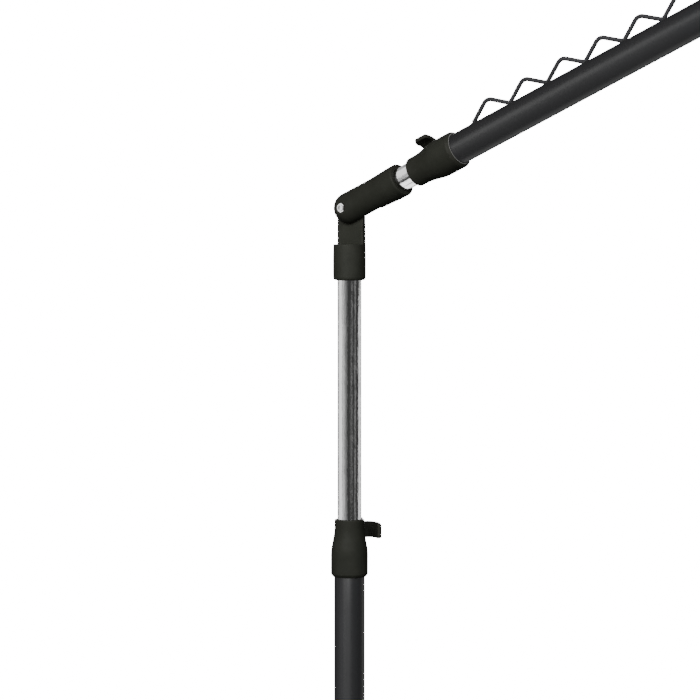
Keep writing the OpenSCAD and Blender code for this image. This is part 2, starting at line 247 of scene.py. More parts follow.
# ---------------------------------------------------------------- materials
class Nodes:
    def __init__(self, name):
        self.mat = bpy.data.materials.new(name)
        self.mat.use_nodes = True
        self.t = self.mat.node_tree
        self.b = self.t.nodes["Principled BSDF"]
        self.tc = self.t.nodes.new("ShaderNodeTexCoord")

    def new(self, kind, **kw):
        n = self.t.nodes.new(kind)
        for k, v in kw.items():
            if k in n.inputs:
                n.inputs[k].default_value = v
            else:
                setattr(n, k, v)
        return n

    def link(self, a, b):
        self.t.links.new(a, b)

    def coords(self, scale=(1, 1, 1)):
        m = self.new("ShaderNodeMapping")
        m.inputs["Scale"].default_value = scale
        self.link(self.tc.outputs["Object"], m.inputs["Vector"])
        return m.outputs["Vector"]

    def noise(self, scale, detail=3, rough=0.55, stretch=(1, 1, 1), distort=0.0):
        n = self.new("ShaderNodeTexNoise")
        n.inputs["Scale"].default_value = scale
        n.inputs["Detail"].default_value = detail
        n.inputs["Roughness"].default_value = rough
        n.inputs["Distortion"].default_value = distort
        self.link(self.coords(stretch), n.inputs["Vector"])
        return n.outputs["Fac"]

    def ramp(self, fac, stops):
        r = self.new("ShaderNodeValToRGB")
        e = r.color_ramp.elements
        while len(e) < len(stops):
            e.new(0.5)
        for k, (p, c) in enumerate(stops):
            e[k].position = p
            e[k].color = (c, c, c, 1) if isinstance(c, (int, float)) else (*c, 1)
        self.link(fac, r.inputs["Fac"])
        return r.outputs["Color"]

    def remap(self, fac, a, b, lo, hi):
        m = self.new("ShaderNodeMapRange")
        m.inputs["From Min"].default_value = a; m.inputs["From Max"].default_value = b
        m.inputs["To Min"].default_value = lo; m.inputs["To Max"].default_value = hi
        self.link(fac, m.inputs["Value"])
        return m.outputs["Result"]

    def mixc(self, fac, a, b):
        m = self.new("ShaderNodeMix")
        m.data_type = "RGBA"
        for sock, v in ((m.inputs["A"], a), (m.inputs["B"], b)):
            pass
        ia, ib = m.inputs[6], m.inputs[7]
        for sock, v in ((ia, a), (ib, b)):
            if isinstance(v, tuple):
                sock.default_value = (*v, 1)
            else:
                self.link(v, sock)
        self.link(fac, m.inputs[0])
        return m.outputs[2]

    def bump(self, height, strength, distance, prev=None):
        b = self.new("ShaderNodeBump")
        b.inputs["Strength"].default_value = strength
        b.inputs["Distance"].default_value = distance
        self.link(height, b.inputs["Height"])
        if prev is not None:
            self.link(prev, b.inputs["Normal"])
        return b.outputs["Normal"]

    def out(self, color=None, rough=None, normal=None):
        if color is not None:
            self.link(color, self.b.inputs["Base Color"])
        if rough is not None:
            self.link(rough, self.b.inputs["Roughness"])
        if normal is not None:
            self.link(normal, self.b.inputs["Normal"])
        return self.mat


def plastic(name="satin_black_plastic", rim=False):
    m = Nodes(name)
    cloud = m.noise(55, 4, 0.6)
    fine = m.noise(1500, 2, 0.6)
    wear = m.noise(240, 5, 0.7)
    point = m.new("ShaderNodeNewGeometry").outputs["Pointiness"]
    edge = m.remap(point, 0.515, 0.56, 0.0, 0.5)
    base = m.mixc(m.remap(cloud, 0.3, 0.7, 0, 1), (0.0195, 0.0205, 0.0160), (0.0270, 0.0280, 0.0225))
    speck = m.mixc(m.remap(fine, 0.55, 0.8, 0, 0.3), base, (0.040, 0.041, 0.034))
    col = m.mixc(edge, speck, (0.05, 0.051, 0.046))
    if rim:
        # painted highlight: the lip where the tube enters gets a pale ring painted into the plastic's colour, standing
        # in for the light it catches
        sep = m.new("ShaderNodeSeparateXYZ")
        m.link(m.tc.outputs["Object"], sep.inputs[0])
        lip = m.remap(sep.outputs["Z"], 0.00025, 0.00075, 1.0, 0.0)
        x2 = m.new("ShaderNodeMath"); x2.operation = "MULTIPLY"; m.link(sep.outputs["X"], x2.inputs[0]); m.link(sep.outputs["X"], x2.inputs[1])
        y2 = m.new("ShaderNodeMath"); y2.operation = "MULTIPLY"; m.link(sep.outputs["Y"], y2.inputs[0]); m.link(sep.outputs["Y"], y2.inputs[1])
        r2 = m.new("ShaderNodeMath"); r2.operation = "ADD"; m.link(x2.outputs[0], r2.inputs[0]); m.link(y2.outputs[0], r2.inputs[1])
        near = m.remap(r2.outputs[0], 0.0168 ** 2, 0.0171 ** 2, 1.0, 0.0)
        lip_highlight_mask = m.new("ShaderNodeMath"); lip_highlight_mask.operation = "MULTIPLY"; m.link(lip, lip_highlight_mask.inputs[0]); m.link(near, lip_highlight_mask.inputs[1])
        # the pale 0.30 colour here is the painted highlight on the lip
        col = m.mixc(lip_highlight_mask.outputs[0], col, (0.30, 0.30, 0.29))
    rough = m.remap(wear, 0.3, 0.75, 0.52, 0.64)
    n1 = m.bump(m.noise(3200, 2, 0.5), 0.16, 0.00012)
    n2 = m.bump(cloud, 0.12, 0.0008, n1)
    m.b.inputs["Specular IOR Level"].default_value = 0.12
    return m.out(col, rough, n2)


def paint(name, c0, c1, rlo, rhi, spec=0.16):
    m = Nodes(name)
    cloud = m.noise(38, 4, 0.6, (1, 1, 0.25))
    orange = m.noise(1300, 3, 0.55)
    fleck = m.noise(2600, 1, 0.5)
    point = m.new("ShaderNodeNewGeometry").outputs["Pointiness"]
    edge = m.remap(point, 0.53, 0.60, 0.0, 0.35)
    base = m.mixc(m.remap(cloud, 0.3, 0.7, 0, 1), c0, c1)
    dots = m.mixc(m.remap(fleck, 0.62, 0.75, 0, 0.35), base, tuple(x * 1.9 for x in c1))
    col = m.mixc(edge, dots, (0.10, 0.10, 0.104))
    rough = m.remap(m.noise(90, 5, 0.65, (1, 1, 0.4)), 0.25, 0.75, rlo, rhi)
    n1 = m.bump(orange, 0.05, 0.00012)
    n2 = m.bump(m.noise(2800, 2, 0.5), 0.04, 0.00006, n1)
    m.b.inputs["Specular IOR Level"].default_value = spec
    return m.out(col, rough, n2)


def chrome(name, streak=1.0):
    m = Nodes(name)
    m.b.inputs["Metallic"].default_value = 1.0
    blot = m.noise(70, 5, 0.62, (1, 1, 0.30), 0.5)
    lines = m.noise(1300, 3, 0.6, (1, 1, 0.010))
    specks = m.noise(460, 5, 0.72, (1, 1, 0.5))
    col = m.mixc(m.remap(blot, 0.35, 0.7, 0, 1), (0.74, 0.74, 0.74), (0.62, 0.62, 0.615))
    col = m.mixc(m.remap(specks, 0.60, 0.74, 0, 0.45), col, (0.40, 0.40, 0.36))
    rough = m.remap(blot, 0.3, 0.75, 0.05, 0.13)
    n1 = m.bump(lines, 0.25 * streak, 0.00002)
    n2 = m.bump(blot, 0.8, 0.0009, n1)
    n3 = m.bump(specks, 0.75, 0.00011, n2)
    return m.out(col, rough, n3)


def steel(name, base, rlo, rhi, bright=0.0):
    m = Nodes(name)
    m.b.inputs["Metallic"].default_value = 1.0
    n = m.noise(260, 5, 0.65)
    fine = m.noise(2200, 2, 0.5)
    col = m.mixc(m.remap(n, 0.35, 0.7, 0, 1), base, tuple(x * 0.78 for x in base))
    rough = m.remap(n, 0.3, 0.7, rlo, rhi)
    n1 = m.bump(fine, 0.05, 0.00006)
    n2 = m.bump(n, 0.06, 0.0001, n1)
    return m.out(col, rough, n2)


def rubber():
    m = Nodes("black_rubber")
    n = m.noise(180, 4, 0.6)
    base = m.mixc(m.remap(n, 0.3, 0.7, 0, 1), (0.016, 0.016, 0.016), (0.03, 0.03, 0.029))
    dust = m.mixc(m.remap(m.noise(60, 5, 0.7), 0.55, 0.8, 0, 0.5), base, (0.07, 0.068, 0.064))
    rough = m.remap(n, 0.3, 0.7, 0.62, 0.8)
    nn = m.bump(m.noise(1800, 3, 0.6), 0.25, 0.0002)
    m.b.inputs["Specular IOR Level"].default_value = 0.3
    return m.out(dust, rough, nn)


def nylon():
    m = Nodes("natural_nylon")
    n = m.noise(120, 3, 0.5)
    base = m.mixc(m.remap(n, 0.3, 0.7, 0, 1), (0.66, 0.65, 0.60), (0.74, 0.73, 0.69))
    rough = m.remap(n, 0.3, 0.7, 0.38, 0.5)
    return m.out(base, rough, m.bump(m.noise(1500, 2, 0.5), 0.1, 0.0001))


MAT = {
    "black_plastic": plastic(),
    "painted_tube": paint("charcoal_powder_coat", (0.033, 0.033, 0.0345), (0.037, 0.037, 0.039), 0.35, 0.41, 0.30),
    "painted_wire": paint("wire_coat", (0.034, 0.034, 0.036), (0.042, 0.042, 0.045), 0.35, 0.43, 0.30),
    "painted_base": paint("base_coat", (0.030, 0.030, 0.032), (0.040, 0.040, 0.043), 0.40, 0.52, 0.30),
    "chrome_tube": chrome("bright_chrome"),
    "bright_rivet": steel("bright_rivet", (0.92, 0.92, 0.91), 0.22, 0.34),
    "zinc_steel": steel("zinc_steel", (0.62, 0.62, 0.63), 0.24, 0.40),
    "black_rubber": rubber(),
    "nylon": nylon(),
    "shoe_rubber": rubber(),
}


# collar plastic with a painted highlight ring on the lip where the tube enters
MAT_COLLAR_PAINTED_HIGHLIGHT = plastic("satin_black_plastic_collar_painted_highlight", rim=True)


def dress(o, slot):
    o.data.materials.clear()
    o.data.materials.append(MAT[slot])
    return o


SLOT = {s["node"]: s["material_slot"] for s in frame["record"]["subparts"]}
BODY = {}
for b, ns in frame["record"]["behaviour"]["bodies"].items():
    for x in ns:
        BODY[x] = b
for nname, o in frame["nodes"].items():
    o.data.materials.clear()
    o.data.materials.append(MAT[SLOT[nname]])


def stand_for(o, *nodes):
    o.name = nodes[0] + "_look"
    dress(o, SLOT[nodes[0]])
    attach(o, BODY[nodes[0]])
    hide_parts(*nodes)
    return o


# ---------------------------------------------------------------- tubes
COL_TOP = COLLAR_Z0 * 1000 + 28
stand_for(tube("t", 16, 14.5, 50, COL_TOP, WORLD), "column_tube")
stand_for(tube("t", 12.5, 11.3, 1250 - 323.5 - 470, 1250 - 42, WORLD), "riser_tube")
stand_for(tube("t", 16, 14.5, 124.5, 930, BOOM), "boom_tube")
stand_for(tube("t", 12.5, 11.3, 42, 540, BOOM), "boom_inner_tube")


# ---------------------------------------------------------------- lock collars and levers
PX, PY = 10.0, 21.0
PDIR = math.atan2(PY, PX)


def capsule(name, x0, x1, half, z0, z1, ang, rnd=1.2):
    """A rounded lug from radius x0 to the round end at x1, in plan along ang."""
    outline = []
    for k in range(13):
        a = -math.pi / 2 + math.pi * k / 12
        outline.append((x1 + half * math.cos(a), half * math.sin(a)))
    outline.append((x0, half)); outline.append((x0, -half))
    verts, faces = [], []
    n = len(outline)
    levels = [(z0, rnd), (z0 + rnd * 0.3, rnd * 0.3), (z0 + rnd, 0), (z1 - rnd, 0), (z1 - rnd * 0.3, rnd * 0.3), (z1, rnd)]
    for z, inset in levels:
        for x, y in outline:
            c = Vector((x1 * 0.75, 0)); d = Vector((x, y)) - c
            q = c + d * max(0.1, 1 - inset / max(d.length, 0.1)) if x > x0 + 1 else Vector((x, y * (1 - inset / half)))
            verts.append((q.x * math.cos(ang) - q.y * math.sin(ang), q.x * math.sin(ang) + q.y * math.cos(ang), z))
    for i in range(len(levels) - 1):
        for k in range(n):
            faces.append((i * n + k, i * n + (k + 1) % n, (i + 1) * n + (k + 1) % n, (i + 1) * n + k))
    faces.append(tuple(reversed(range(n)))); faces.append(tuple((len(levels) - 1) * n + k for k in range(n)))
    return fix_normals(new_obj(name, verts, faces))


def collar(node, matrix):
    skin = soften([(15.2, 0.1, 0), (16.9, 0.05, .4), (19.35, 2.9, 1.0), (19.4, 24, 4), (19.0, 29.5, 4), (17.7, 36, 5), (16.2, 44, 5),
                   (15.55, 50, 3), (15.5, 59.95, .7), (12.4, 59.95, .3), (12.4, 28, 0), (15.2, 28, 0)],
                  0, 5, closed=True)
    o = lathe("collar", split_long(skin, 3), segs=128, closed=True)
    parts = [o]
    for z0, z1 in ((32.5, 38.3), (55.7, 59.9)):
        parts.append(capsule("lug", 14.6, 23.26, 4.5, z0, z1, PDIR))
    o = join(parts)
    remesh(o, 0.36, 3)
    boolean(o, lathe("c", soften([(0, -5), (16.8, -5, 0), (16.8, -0.2, 0), (16.02, .75, .3), (16.02, 28, 0), (14.1, 28.02, 0), (14.1, 57.5, 0), (12.95, 57.6, 0),
                                  (12.95, 59.0, .3), (14.0, 60.3, 0), (14.0, 66, 0), (0, 66)], .2, 3), segs=128))
    cut = lathe("c", [(0, 30), (2.0, 30), (2.0, 64), (0, 64)], Matrix.Translation((PX * S, PY * S, 0)), 32)
    boolean(o, cut)
    o.data.shade_smooth()
    o.matrix_world = matrix
    stand_for(o, node)
    o.data.materials.clear()
    o.data.materials.append(MAT_COLLAR_PAINTED_HIGHLIGHT)
    return o


def lever(node, matrix):
    outer = [(6.2, 23.8), (8.2, 25.2), (11, 26.2), (15, 27.0), (19, 27.4), (23, 27.1), (26.4, 25.6), (29.2, 22.9), (31.3, 19.2), (32.6, 15.2), (33.4, 11.2), (33.7, 8.0)]
    inner = [(32.9, 6.7), (31.3, 6.2), (29.8, 7.0), (28.9, 11.6), (27.8, 16.2), (25.7, 19.4), (23.0, 21.2), (19.8, 21.7), (16.5, 21.0), (13.6, 19.0), (11, 17.4)]
    z0, z1 = 38.6, 55.4
    n = 22
    zs = [z0 + (z1 - z0) * k / n for k in range(n + 1)]
    line = outer + inner
    verts, faces = [], []
    count = len(line)
    tip = Vector((33.0, 6.9)); along = Vector((0.16, -0.987))
    for z in zs:
        lo, hi = z - z0, z1 - z
        back = 0.0
        for e, lim, reach in ((hi, 4.4, 5.0), (lo, 3.0, 3.0)):
            if e < lim:
                back = max(back, reach * (1 - math.sqrt(max(0.0, 1 - (1 - e / lim) ** 2))))
        pinch = 0.35 * max(0.0, 1 - min(lo, hi) / 1.2) ** 2
        tuck = 2.6 * (1 - math.sqrt(max(0.0, 1 - max(0.0, 1 - hi / 4.0) ** 2))) + 1.2 * (1 - math.sqrt(max(0.0, 1 - max(0.0, 1 - lo / 2.0) ** 2)))
        for k, (x, y) in enumerate(line):
            p = Vector((x, y))
            w = min(1.0, max(0.0, (x - 22) / 8))
            p -= Vector((1.0, 0.25)) * tuck * w * (1.0 if k < len(outer) else 0.45)
            over = (p - tip).dot(along) + back          # how far past the rounded end this point lies
            if x > 26 and over > 0:
                p -= along * over
            c = Vector((24, 20)) if x > 14 else Vector((PX, PY))
            d = (p - c)
            p = c + d * (1 - pinch / max(d.length, 3.0))
            verts.append((p.x, p.y, z))
    for i in range(n):
        for k in range(count):
            faces.append((i * count + k, i * count + (k + 1) % count, (i + 1) * count + (k + 1) % count, (i + 1) * count + k))
    faces.append(tuple(reversed(range(count)))); faces.append(tuple(n * count + k for k in range(count)))
    arm = fix_normals(new_obj("arm", verts, faces))
    hub = lathe("hub", soften([(0, z0), (4.4, z0, .6), (4.4, z1, .6), (0, z1)], .6, 3), Matrix.Translation((PX * S, PY * S, 0)), 48)
    arm_o = join([arm, hub])
    remesh(arm_o, 0.32, 3)
    cut = lathe("c", [(0, 30), (2.02, 30), (2.02, 64), (0, 64)], Matrix.Translation((PX * S, PY * S, 0)), 32)
    boolean(arm_o, cut)
    arm_o.data.shade_smooth()
    arm_o.matrix_world = matrix
    return stand_for(arm_o, node)


def lever_pin(node, matrix):
    o = lathe("pin", soften([(0, 32.6), (1.9, 32.6, .3), (1.98, 33, 0), (1.98, 58.3, 0), (1.9, 58.75, .3), (0, 58.75)], .2, 2),
              matrix @ Matrix.Translation((PX * S, PY * S, 0)), 32)
    return stand_for(o, node)


collar("column_collar", COL_COLLAR)
collar("boom_collar", BOOM_COLLAR)
lever("column_lever", COL_COLLAR)
lever("boom_lever", BOOM_COLLAR)
lever_pin("column_lever_pin", COL_COLLAR)
lever_pin("boom_lever_pin", BOOM_COLLAR)


# ---------------------------------------------------------------- elbow
def arc(r, a0, a1, n, cz=0.0):
    return [(r * math.cos(math.radians(a0 + (a1 - a0) * k / n)), cz + r * math.sin(math.radians(a0 + (a1 - a0) * k / n))) for k in range(n + 1)]


def elbow_lower():
    prof = [(0, -75), (16.9, -74.95, 3.4), (17.1, -67, 4), (17.1, -50, 4), (16.75, -38, 4), (16.45, -6, 3)] + [
        (x, z, 0) for x, z in arc(16.4, 0, 90, 22)]
    prof[-1] = (0, 16.4)
    o = lathe("el", split_long(soften(prof, 0, 4), 4)[:-1] + [(0, 16.4)], segs=128)
    fix_normals(o)
    boolean(o, box_mesh("b", -30, 30, -60, 0.5, -37.5, 60))
    boolean(o, lathe("c", [(0, -80), (12.55, -80), (12.55, -42), (0, -42)], segs=64))
    rot = Matrix.Rotation(math.radians(-90), 4, "X")
    boolean(o, lathe("c", [(0, 14.5), (5.6, 14.5), (5.6, 40), (0, 40)], rot, 48))
    remesh(o, 0.42, 8)
    boolean(o, lathe("c", [(0, -30), (4.02, -30), (4.02, 30), (0, 30)], rot, 48))
    o.data.shade_smooth()
    o.matrix_world = PIV
    return stand_for(o, "elbow_lower")


def elbow_upper():
    body = [(0, 74), (12.0, 74), (16.7, 73.98, .6), (17.4, 72.7, 1.2), (17.3, 62, 8), (16.6, 50, 8), (16.0, 36, 8), (16.3, 8, 4)]
    prof = body + [(x, z, 0) for x, z in arc(16.4, -4, -90, 22)]
    prof[-1] = (0, -16.4)
    o = lathe("eu", soften(prof, 0, 4), segs=128)
    fix_normals(o)
    boolean(o, box_mesh("b", -30, 30, -0.55, 60, -60, 37.5))
    boolean(o, lathe("c", [(0, 42), (12.55, 42), (12.55, 90), (0, 90)], segs=64))
    rot = Matrix.Rotation(math.radians(90), 4, "X")
    boolean(o, lathe("c", soften([(0, 14.45), (5.7, 14.45, .3), (6.4, 16.2, 0), (6.4, 40), (0, 40)], .2, 2), rot, 64))
    remesh(o, 0.42, 6)
    boolean(o, lathe("c", [(0, -30), (4.07, -30), (4.07, 30), (0, 30)], rot, 48))
    o.data.shade_smooth()
    o.matrix_world = BOOM
    return stand_for(o, "elbow_upper")


def rivet():
    head = [(0, 15.55), (0.9, 15.5), (1.6, 15.62), (2.1, 15.95), (2.6, 16.08), (3.6, 15.98), (4.3, 15.6), (4.72, 15.05), (4.78, 14.6), (4.6, 14.46), (4.0, 14.45)]
    tail = [(4.0, -14.45), (4.9, -14.46), (5.08, -14.6), (5.0, -15.1), (4.4, -15.75), (3.4, -16.05), (2.4, -16.1), (1.9, -15.9), (1.4, -15.65), (0, -15.6)]
    o = lathe("rv", split_long(head + tail, 5)[:-1], PIV @ Matrix.Rotation(math.radians(90), 4, "X"), 64)
    return stand_for(o, "elbow_rivet")


elbow_lower(); elbow_upper(); rivet()


def screw(node, matrix):
    prof = soften([(0, 8.4), (1.6, 8.4, 0), (1.7, 16.9, 0), (3.25, 16.95, .3), (3.2, 18.1, .5), (2.0, 18.72, .6), (0, 18.8)], .2, 3)
    o = lathe("sc", prof, matrix @ Matrix.Rotation(math.radians(-90), 4, "X"), 48)
    for a in (0, 90):
        boolean(o, box_mesh("b", -2.0, 2.0, -.32, .32, 18.0, 20, matrix @ Matrix.Rotation(math.radians(-90), 4, "X") @ Matrix.Rotation(math.radians(a), 4, "Z")))
    return stand_for(o, node)


screw("riser_screw", Matrix.Translation((0, 0, 1.25 - 0.058)))
screw("boom_screw", BOOM @ Matrix.Translation((0, 0, 0.058)))


# ---------------------------------------------------------------- wire on the boom
def wire():
    pitch, teeth, t_start = 48.0, 14, 178.0
    r, valley, crest, rv, rc = 2.2, 17.4, 30.6, 4.6, 9.0
    w, h, s = pitch / 2, crest - valley, rv + rc
    a = math.asin(s / math.hypot(w, h - s)) + math.atan2(h - s, w)
    pts = []
    for i in range(teeth):
        t0 = t_start + i * pitch
        for k in range(7):
            b = a * k / 6
            pts.append((t0 + rv * math.sin(b), valley + rv * (1 - math.cos(b))))
        for k in range(13):
            b = a * (1 - k / 6)
            pts.append((t0 + w - rc * math.sin(b), crest - rc * (1 - math.cos(b))))
        for k in range(6):
            b = -a * (1 - k / 6)
            pts.append((t0 + pitch + rv * math.sin(b), valley + rv * (1 - math.cos(b))))
    pts.append((t_start + teeth * pitch, valley))
    m = axes(U, Vector((0, -1, 0)), N, PIVOT)
    o = sweep("wire", pts, r, 20, m)
    return o, m, [t_start + i * pitch for i in range(teeth + 1)]


w_obj, w_m, feet_t = wire()
stand_for(w_obj, "boom_wire")


def welds():
    """A small fillet of weld metal on each side of every valley."""
    parts = []
    rng = random.Random(7)
    for t in feet_t:
        verts, faces = [], []
        nu, nv = 16, 10
        L, W, H = 4.6 + rng.uniform(-.6, .6), 2.9 + rng.uniform(-.2, .2), 1.45 + rng.uniform(-.1, .15)
        for j in range(nv + 1):
            ph = math.pi / 2 * j / nv
            for k in range(nu):
                th = 2 * math.pi * k / nu
                wob = 1 + 0.10 * math.sin(3 * th + t) + 0.05 * math.sin(5 * th + 2 * t)
                x = L * math.cos(ph) * math.cos(th) * wob
                y = W * math.cos(ph) * math.sin(th) * wob
                z0 = math.sqrt(max(0.0, 15.9 ** 2 - y * y))
                verts.append((t + x, y, z0 + H * math.sin(ph)))
        for j in range(nv):
            for k in range(nu):
                faces.append((j * nu + k, j * nu + (k + 1) % nu, (j + 1) * nu + (k + 1) % nu, (j + 1) * nu + k))
        faces.append(tuple(reversed(range(nu)))); faces.append(tuple(nv * nu + k for k in range(nu)))
        parts.append(fix_normals(new_obj("weld", verts, faces, w_m)))
    o = join(parts)
    o.name = "boom_wire_welds"
    dress(o, "painted_wire")
    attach(o, "boom")
    return o


welds()

# ---------------------------------------------------------------- boom end
o = lathe("ep", soften([(9.02, 930), (16.0, 930, .2), (16.0, 932, .8), (14.8, 933, .6), (9.02, 933, .2)], .2, 4, closed=True), BOOM, 96, closed=True)
stand_for(o, "boom_end_plug")
o = lathe("sp", soften([(0, 900), (14.4, 900, .4), (14.4, 929.9, .2), (8.98, 929.95, 0), (8.98, 933, .25), (8.0, 933, 0), (8.0, 971, .3), (7.0, 972, .4), (0, 972)], .3, 3), BOOM, 96)
stand_for(o, "boom_spigot")

# ---------------------------------------------------------------- base
LEGS = {"front": (0.0, 0), "left": (120.0, 1), "right": (-120.0, 2)}
RING_Z = [50.5, 81.0, 111.5]
REACH, BEND, DROP, START, ENDZ, LR = 430.0, 80.0, math.radians(40), 26.0, 20.0, 11.0


def leg_points(zc):
    fall = (zc - BEND * (1 - math.cos(DROP)) - ENDZ) / math.sin(DROP)
    level = REACH - START - BEND * math.sin(DROP) - fall * math.cos(DROP)
    pts = [(START - .0, zc)] + [(START + level * k / 6, zc) for k in range(1, 7)]
    for k in range(1, 17):
        a = DROP * k / 16
        pts.append((START + level + BEND * math.sin(a), zc - BEND * (1 - math.cos(a))))
    bx, bz = pts[-1]
    for k in range(1, 5):
        pts.append((bx + (REACH - bx) * k / 4, bz + (ENDZ - bz) * k / 4))
    return pts


def base():
    for side, (az, lv) in LEGS.items():
        m = Matrix.Rotation(math.radians(az), 4, "Z")
        zc = RING_Z[lv] + 15
        leg = sweep("leg", leg_points(zc), LR, 48, m)
        stand_for(leg, "leg_" + side)
        # ring with its socket, blended like a casting
        bore = 16.05 if lv == 0 else 16.1
        ring = lathe("ring", split_long(soften([(15.2, 0.3, 0), (21.6, 0.05, 1.5), (22.9, 1.6, 1), (22.9, 28.4, 1), (21.6, 29.95, 1.5), (15.2, 29.7, 0)], 1, 4, closed=True), 4), segs=96, closed=True)
        sock = lathe("sock", soften([(0, 17.2), (14.4, 17.2), (13.5, 30, 4), (13.5, 52, .9), (12.2, 53.9, .8), (0, 53.9)], 1, 4),
                     Matrix.Translation((0, 0, 15 * S)) @ Matrix.Rotation(math.radians(90), 4, "Y"), 64)
        r = join([ring, sock])
        remesh(r, 0.62, 5)
        boolean(r, lathe("c", [(0, -5), (bore, -5), (bore, 40), (0, 40)], segs=96))
        boolean(r, lathe("c", [(0, 25.9), (11.05, 25.9), (11.05, 70), (0, 70)], Matrix.Translation((0, 0, 15 * S)) @ Matrix.Rotation(math.radians(90), 4, "Y"), 64))
        r.data.shade_smooth()
        r.matrix_world = m @ Matrix.Translation((0, 0, RING_Z[lv] * S))
        stand_for(r, "leg_ring_" + side)
        # rubber foot: sleeve with a groove ring on the leg's end and a flat pad
        dirm = Matrix.Translation((REACH * S, 0, ENDZ * S)) @ Matrix.Rotation(math.radians(130), 4, "Y")
        sleeve = lathe("sl", split_long(soften([(0, -29.9), (12.6, -29.9, .3), (14.0, -29, .8), (14.0, -24.6, .3), (13.4, -24, .3), (13.4, -22.6, .3), (14.0, -22, .3), (14.0, 2.2, 2), (12.5, 4, 1.2), (0, 4)], .5, 4), 4), dirm, 72)
        pad = lathe("pd", soften([(0, 0), (15.8, 0, .4), (17, 1.2, .8), (17, 7, 2), (14.5, 12, 2.5), (0, 12)], .5, 4), Matrix.Translation(((REACH + 2) * S, 0, 0)), 72)
        f = join([sleeve, pad])
        f.data.transform(f.matrix_world); f.matrix_world = WORLD
        remesh(f, 0.6, 3)
        boolean(f, lathe("c", [(0, -60), (11.02, -60), (11.02, 0), (0, 0)], dirm, 64))
        boolean(f, box_mesh("b", 380, 470, -40, 40, -10, 0.12))
        f.data.shade_smooth()
        f.matrix_world = m
        stand_for(f, "foot_" + side)
    z = 142.0
    ring = lathe("ring", split_long(soften([(15.2, 0.3, 0), (21.6, 0.05, 1.5), (22.9, 1.6, 1), (22.9, 26.4, 1), (21.6, 27.95, 1.5), (15.2, 27.7, 0)], 1, 4, closed=True), 4), segs=96, closed=True)
    boss = lathe("boss", soften([(0, 12), (11.5, 12), (9.9, 24, 3), (9.9, 34.8, .7), (8.9, 35.95, .5), (0, 35.95)], .6, 3),
                 Matrix.Translation((0, 0, 14 * S)) @ Matrix.Rotation(math.radians(-90), 4, "Y"), 64)
    r = join([ring, boss]); remesh(r, 0.6, 5)
    boolean(r, lathe("c", [(0, -5), (16.05, -5), (16.05, 40), (0, 40)], segs=96))
    boolean(r, lathe("c", [(0, 10), (5.1, 10), (5.1, 50), (0, 50)], Matrix.Translation((0, 0, 14 * S)) @ Matrix.Rotation(math.radians(-90), 4, "Y"), 48))
    r.data.shade_smooth()
    r.matrix_world = Matrix.Translation((0, 0, z * S))
    stand_for(r, "leg_clamp_collar")
    # T-handle
    hm = Matrix.Translation((-0.056, 0, (z + 14) * S))
    shaft = [(0, 0), (7.2, 0, .8), (8.0, 1.0, .8), (8.0, 11, .8), (6.8, 12, .6), (5.0, 12.2, .2)]
    zz = 12.6
    while zz < 38:
        shaft += [(5.0, zz, 0), (4.55, zz + .5, 0), (4.55, zz + .6, 0), (5.0, zz + 1.1, 0)]
        zz += 1.35
    shaft += [(4.6, 39.2, .2), (0, 39.6)]
    sh = lathe("sh", soften(shaft, .3, 2), hm @ Matrix.Rotation(math.radians(90), 4, "Y"), 64)
    bar = lathe("bar", soften([(0, -41.4), (3.4, -41.3, 1.5), (5.45, -38.4, 2), (5.45, -34.6, 1.6), (4.0, -31.8, 1.2), (4.0, 31.8, 1.2), (5.45, 34.6, 1.6), (5.45, 38.4, 2), (3.4, 41.3, 1.5), (0, 41.4)], 1, 5),
                hm @ Matrix.Translation((0.003, 0, 0)), 48)
    stand_for(join([sh, bar]), "leg_clamp_handle")
    # plug under the column
    pl = lathe("pl", soften([(0, 44.2), (18.5, 44.0, .5), (20.9, 45.4, 1.2), (20.9, 49, .8), (20.2, 50, .4), (14.45, 50, 0), (14.4, 74, .8), (0, 74)], .6, 4), WORLD, 96)
    stand_for(pl, "column_foot_plug")


base()


# ---------------------------------------------------------------- stage, lights, camera
def floor():
    v, f = lathe_data([(0, 0), (400, 0), (900, 0), (1500, 0)], 128)
    o = new_obj("floor", v, f)
    fix_normals(o)
    m = Nodes("pale_floor")
    n = m.noise(6, 4, 0.6)
    col = m.mixc(n, (0.80, 0.80, 0.80), (0.84, 0.84, 0.835))
    m.out(col, m.remap(n, 0.3, 0.7, 0.6, 0.75), None)
    o.data.materials.append(m.mat)
    o.visible_diffuse = False
    o.visible_glossy = False
    return o


floor()

CAM_AZ, CAM_PITCH, CAM_D, CAM_F, CAM_X, CAM_Z = 37.90, 2.72, 2.9779, 2876.5, -0.00056, 0.14715


def camera():
    a, p = math.radians(CAM_AZ), math.radians(CAM_PITCH)
    fwd = Vector((-math.sin(a) * math.cos(p), math.cos(a) * math.cos(p), -math.sin(p)))
    right = Vector((math.cos(a), math.sin(a), 0))
    up = right.cross(fwd)
    pos = PIVOT - fwd * CAM_D - right * CAM_X - up * CAM_Z
    cam = bpy.data.cameras.new("camera")
    cam.sensor_width = 36.0
    cam.lens = 36.0 * CAM_F / 700.0
    cam.clip_end = 50
    o = bpy.data.objects.new("camera", cam)
    bpy.context.scene.collection.objects.link(o)
    o.matrix_world = axes(right, up, -fwd, pos)
    bpy.context.scene.camera = o
    return pos


cam_pos = camera()
CAM_FWD = (Vector((0, 0, 1.25)) - cam_pos).normalized()


def area(name, loc, target, size, size_y, power, color=(1, 1, 1)):
    l = bpy.data.lights.new(name, "AREA")
    l.shape = "RECTANGLE"; l.size = size; l.size_y = size_y; l.energy = power; l.color = color
    o = bpy.data.objects.new(name, l)
    bpy.context.scene.collection.objects.link(o)
    d = (Vector(target) - Vector(loc)).normalized()
    o.matrix_world = Matrix.Translation(Vector(loc)) @ d.to_track_quat("-Z", "Y").to_matrix().to_4x4()
    return o


